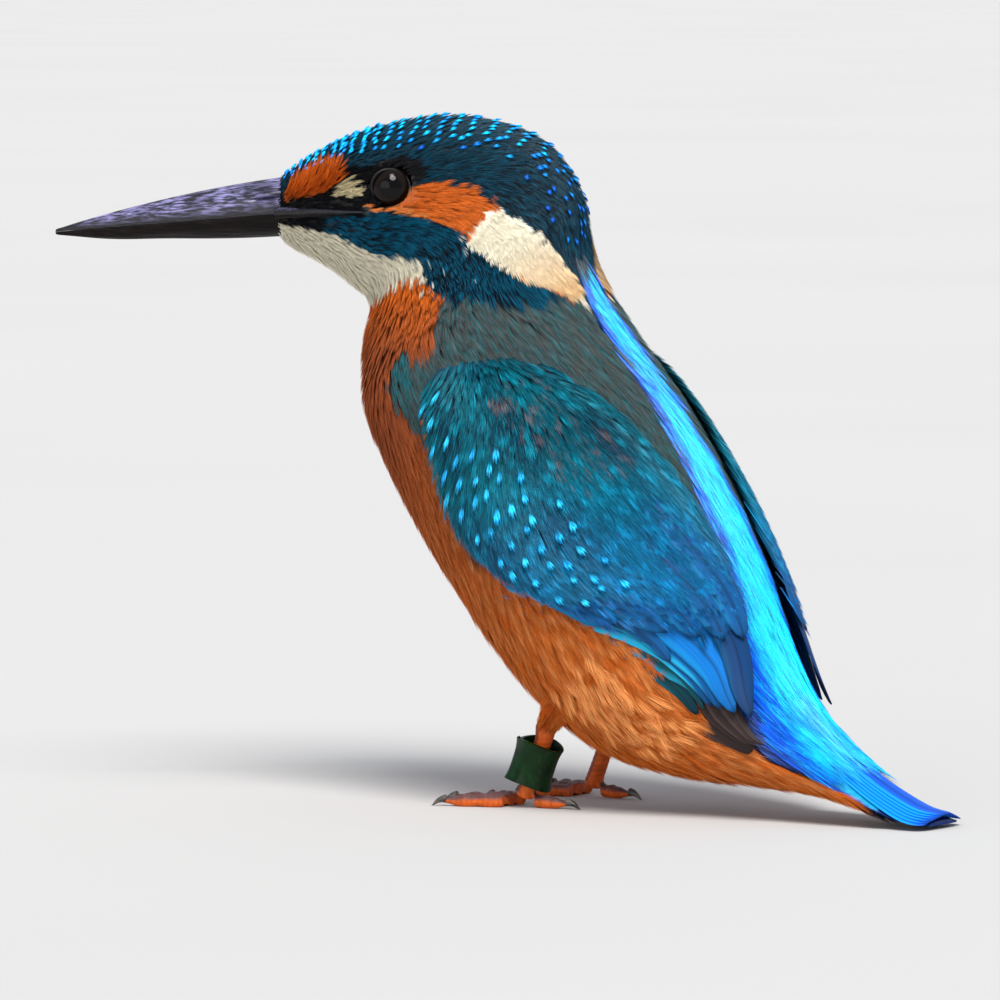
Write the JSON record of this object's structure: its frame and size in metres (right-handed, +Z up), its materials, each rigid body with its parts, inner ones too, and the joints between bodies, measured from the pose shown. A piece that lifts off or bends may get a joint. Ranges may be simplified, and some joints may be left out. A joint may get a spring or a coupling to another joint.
{
  "type": "kingfisher",
  "caption": "Life-size still kingfisher standing upright, head turned to its left, with a dagger bill, folded wings, a short tail resting on the floor and a green ring on one leg.",
  "frame": {"origin": "middle of the whole bird's box from side to side and front to back, at the level of its soles", "axes": "-Y is the way the body faces, +X is the bird's left, +Z is up; the head is turned to the bird's left, towards +X"},
  "size_m": [0.0582, 0.132, 0.1008],
  "materials": {
    "crown_feathers": "barred azure on blue-black feathers",
    "mantle_feathers": "dusky teal feathers",
    "rufous_feathers": "soft orange-brown feathers",
    "azure_feathers": "bright azure feathers with a silky sheen",
    "tail_feathers": "blue vanes",
    "covert_feathers": "blue-green feathers with pale azure spots",
    "secondary_feathers": "blue vanes with dark shafts",
    "primary_feathers": "brown vanes",
    "bill": "black horn with a dull gloss",
    "eye": "wet dark brown",
    "bare_leg": "orange scaly skin, grey above",
    "claw": "dark horn",
    "ring": "dark green plastic"
  },
  "bodies": {
    "root": {"bill_lower": "bill", "bill_upper": "bill", "claw_hind_left": "claw", "claw_hind_right": "claw", "claw_inner_left": "claw", "claw_inner_right": "claw", "claw_middle_left": "claw", "claw_middle_right": "claw", "claw_outer_left": "claw", "claw_outer_right": "claw", "eye_left": "eye", "eye_right": "eye", "head": "crown_feathers", "leg_ring": "ring", "neck": "mantle_feathers", "rump": "azure_feathers", "tail": "tail_feathers", "tarsus_left": "bare_leg", "tarsus_right": "bare_leg", "thigh_left": "rufous_feathers", "thigh_right": "rufous_feathers", "toe_hind_left": "bare_leg", "toe_hind_right": "bare_leg", "toe_inner_left": "bare_leg", "toe_inner_right": "bare_leg", "toe_middle_left": "bare_leg", "toe_middle_right": "bare_leg", "toe_outer_left": "bare_leg", "toe_outer_right": "bare_leg", "trunk": "rufous_feathers", "wing_left_coverts": "covert_feathers", "wing_left_primaries": "primary_feathers", "wing_left_secondaries": "secondary_feathers", "wing_right_coverts": "covert_feathers", "wing_right_primaries": "primary_feathers", "wing_right_secondaries": "secondary_feathers"}
  },
  "joints": []
}
